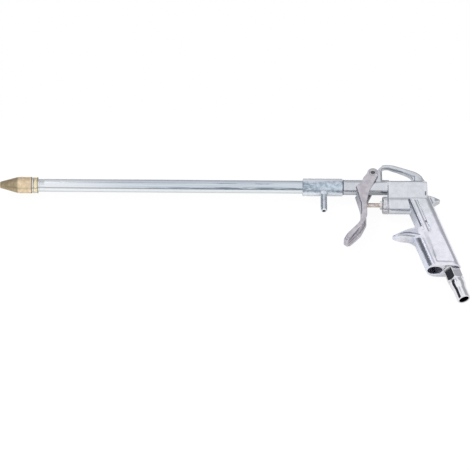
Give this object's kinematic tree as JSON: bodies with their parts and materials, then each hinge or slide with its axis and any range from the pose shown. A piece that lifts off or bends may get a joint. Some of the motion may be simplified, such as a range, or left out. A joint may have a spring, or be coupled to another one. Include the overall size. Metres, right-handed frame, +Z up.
{
  "type": "air blow gun",
  "caption": "Air blow gun with a cast pistol body, hanging loop, fork trigger and poppet valve, side siphon barb, long plated wand and adjustable cone nozzle.",
  "frame": {"origin": "middle of the plan box of the gun laid on its side, on the surface that it lies on", "axes": "+X from the nozzle back to the grip, +Y from the grip's foot up to the barrel and loop, +Z up from the bench, out of the gun's left side"},
  "size_m": [0.4233, 0.143, 0.0209],
  "materials": {
    "cast_body": "satin die casting with polished edges",
    "trigger_cast": "dull grey die casting",
    "rivet_steel": "plated steel",
    "gland_plated": "turned and polished",
    "rubber": "matt black rubber",
    "collar_nylon": "pale turned collar",
    "stem_brass": "turned brass",
    "spring_steel": "drawn spring wire",
    "plug_chrome": "bright nickel plate",
    "ptfe": "white sealing washer",
    "zinc_plate": "bluish zinc plate",
    "tube_plate": "bright zinc plate",
    "ring_brass": "bright turned brass",
    "nozzle_brass": "turned brass, dull on the cone"
  },
  "bodies": {
    "gun": {"gun_body": "cast_body", "gland_nut": "gland_plated", "gland_gasket": "rubber", "stem_collar": "collar_nylon", "stem_seal": "rubber", "return_spring": "spring_steel", "spring_seat": "rivet_steel", "inlet_plug": "plug_chrome", "plug_seal": "ptfe", "siphon_sleeve": "zinc_plate", "siphon_barb": "zinc_plate", "barrel_adaptor": "stem_brass", "barrel_gasket": "rubber", "air_jet": "stem_brass", "wand_tube": "tube_plate"},
    "trigger": {"trigger": "trigger_cast", "trigger_pin": "rivet_steel", "pin_washer": "rivet_steel"},
    "valve": {"valve_stem": "stem_brass", "valve_disc": "rubber", "disc_washer": "stem_brass"},
    "lock_ring": {"lock_ring": "ring_brass"},
    "nozzle": {"nozzle": "nozzle_brass", "nozzle_seal": "rubber"}
  },
  "joints": [
    {"name": "trigger_pull", "type": "hinge", "parent": "gun", "child": "trigger", "pos_m": [0.1273, 0.05947, 0.0106], "axis": [0, 0, 1], "range_deg": [0, 9], "stiffness_Nm_per_rad": 2, "springref_deg": -5.73},
    {"name": "valve_lift", "type": "slide", "parent": "gun", "child": "valve", "axis": [1, 0, 0], "range_m": [0, 0.0045], "deforming": ["return_spring"]},
    {"name": "nozzle_advance", "type": "slide", "parent": "gun", "child": "lock_ring", "axis": [-1, 0, 0], "range_m": [0, 0.003]},
    {"name": "nozzle_turn", "type": "hinge", "parent": "lock_ring", "child": "nozzle", "pos_m": [-0.1895, 0.04927, 0.0106], "axis": [-1, 0, 0], "range_deg": [0, 1080]}
  ],
  "couplings": [
    {"joint": "valve_lift", "follows": "trigger_pull", "m_per_rad": 0.02818},
    {"joint": "nozzle_turn", "follows": "nozzle_advance", "rad_per_m": 6283}
  ]
}
